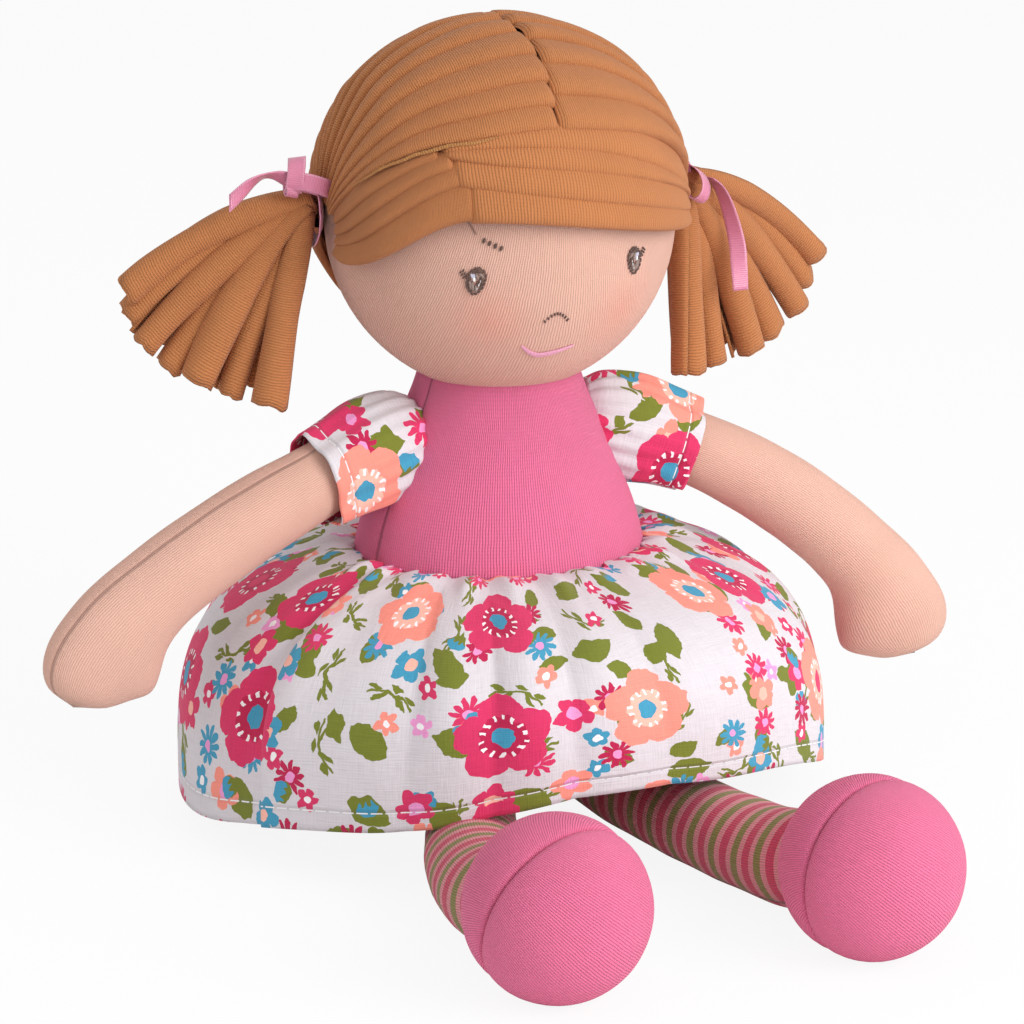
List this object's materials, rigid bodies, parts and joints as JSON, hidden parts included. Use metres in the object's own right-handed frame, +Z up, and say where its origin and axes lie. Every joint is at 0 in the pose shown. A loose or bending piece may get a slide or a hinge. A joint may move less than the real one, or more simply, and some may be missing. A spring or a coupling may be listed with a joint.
{
  "type": "rag doll",
  "caption": "Soft seated doll with a round head, jersey-strip hair in pigtails, a printed skirt, mitten hands and ball-shaped shoes, jointed at neck, shoulders and hips",
  "frame": {"origin": "on the surface the doll sits on, at the flat of the body's base, straight below the neck", "axes": "+Z up, the doll faces -Y and its right hand is at -X"},
  "size_m": [0.2543, 0.2458, 0.2137],
  "materials": {
    "bodice_jersey": "matt pink cotton jersey",
    "skin_jersey": "matt skin-coloured cotton jersey",
    "hair_jersey": "brown cotton jersey cut in strips that roll up",
    "print_cotton": "thin plain-woven cotton with a small flower print",
    "striped_jersey": "cotton jersey in rose and olive stripes",
    "satin_ribbon": "narrow satin ribbon with a soft shine",
    "dark_thread": "dark embroidery thread",
    "mouth_thread": "pale pink embroidery thread",
    "sewing_thread": "strong sewing thread",
    "stuffing": "loose white polyester fibre"
  },
  "bodies": {
    "body": {"body_front": "bodice_jersey", "body_back": "bodice_jersey", "body_stuffing": "stuffing", "skirt": "print_cotton"},
    "neck_seam": {"neck_stitches": "sewing_thread"},
    "head": {"head_cover": "skin_jersey", "head_stuffing": "stuffing", "hair_right": "hair_jersey", "hair_left": "hair_jersey", "fringe_right": "hair_jersey", "fringe_left": "hair_jersey", "eye_right": "dark_thread", "eye_left": "dark_thread", "brow_right": "dark_thread", "nose_stitches": "dark_thread", "mouth_stitches": "mouth_thread", "bow_right": "satin_ribbon", "bow_left": "satin_ribbon"},
    "pigtail_right": {"pigtail_right": "hair_jersey"},
    "shoulder_seam_right": {"shoulder_stitches_right": "sewing_thread"},
    "arm_right": {"arm_cover_right": "skin_jersey", "arm_stuffing_right": "stuffing", "sleeve_right": "print_cotton"},
    "hip_seam_right": {"hip_stitches_right": "sewing_thread"},
    "leg_right": {"stocking_right": "striped_jersey", "shoe_heel_right": "bodice_jersey", "shoe_toe_right": "bodice_jersey", "leg_stuffing_right": "stuffing"},
    "pigtail_left": {"pigtail_left": "hair_jersey"},
    "shoulder_seam_left": {"shoulder_stitches_left": "sewing_thread"},
    "arm_left": {"arm_cover_left": "skin_jersey", "arm_stuffing_left": "stuffing", "sleeve_left": "print_cotton"},
    "hip_seam_left": {"hip_stitches_left": "sewing_thread"},
    "leg_left": {"stocking_left": "striped_jersey", "shoe_heel_left": "bodice_jersey", "shoe_toe_left": "bodice_jersey", "leg_stuffing_left": "stuffing"}
  },
  "joints": [
    {"name": "neck_turn", "type": "hinge", "parent": "body", "child": "neck_seam", "pos_m": [0, 0, 0.108], "axis": [0, 0, 1], "range_deg": [-40, 40]},
    {"name": "neck_nod", "type": "hinge", "parent": "neck_seam", "child": "head", "pos_m": [0, 0, 0.108], "axis": [-1, 0, 0], "range_deg": [-15, 15]},
    {"name": "pigtail_lift_right", "type": "hinge", "parent": "head", "child": "pigtail_right", "pos_m": [-0.053, 0.003, 0.1635], "axis": [0, 1, 0], "range_deg": [0, 40]},
    {"name": "shoulder_raise_right", "type": "hinge", "parent": "body", "child": "shoulder_seam_right", "pos_m": [-0.0316, 0, 0.1], "axis": [0, 1, 0], "range_deg": [-8, 58], "deforming": ["sleeve_right", "pigtail_right"]},
    {"name": "shoulder_swing_right", "type": "hinge", "parent": "shoulder_seam_right", "child": "arm_right", "pos_m": [-0.0316, 0, 0.1], "axis": [0, 0, 1], "range_deg": [-20, 24], "deforming": ["sleeve_right"]},
    {"name": "hip_swing_right", "type": "hinge", "parent": "body", "child": "hip_seam_right", "pos_m": [-0.017, -0.027, 0.0112], "axis": [-1, 0, 0], "range_deg": [-90, 20], "deforming": ["skirt"]},
    {"name": "hip_spread_right", "type": "hinge", "parent": "hip_seam_right", "child": "leg_right", "pos_m": [-0.017, -0.027, 0.0112], "axis": [0, 0, -1], "range_deg": [-7, 30]},
    {"name": "pigtail_lift_left", "type": "hinge", "parent": "head", "child": "pigtail_left", "pos_m": [0.053, 0.003, 0.1635], "axis": [0, -1, 0], "range_deg": [0, 40]},
    {"name": "shoulder_raise_left", "type": "hinge", "parent": "body", "child": "shoulder_seam_left", "pos_m": [0.0316, 0, 0.1], "axis": [0, -1, 0], "range_deg": [-5, 62], "deforming": ["sleeve_left", "pigtail_left"]},
    {"name": "shoulder_swing_left", "type": "hinge", "parent": "shoulder_seam_left", "child": "arm_left", "pos_m": [0.0316, 0, 0.1], "axis": [0, 0, -1], "range_deg": [-20, 24], "deforming": ["sleeve_left"]},
    {"name": "hip_swing_left", "type": "hinge", "parent": "body", "child": "hip_seam_left", "pos_m": [0.017, -0.027, 0.0112], "axis": [-1, 0, 0], "range_deg": [-90, 20], "deforming": ["skirt"]},
    {"name": "hip_spread_left", "type": "hinge", "parent": "hip_seam_left", "child": "leg_left", "pos_m": [0.017, -0.027, 0.0112], "axis": [0, 0, 1], "range_deg": [-7, 30]}
  ]
}
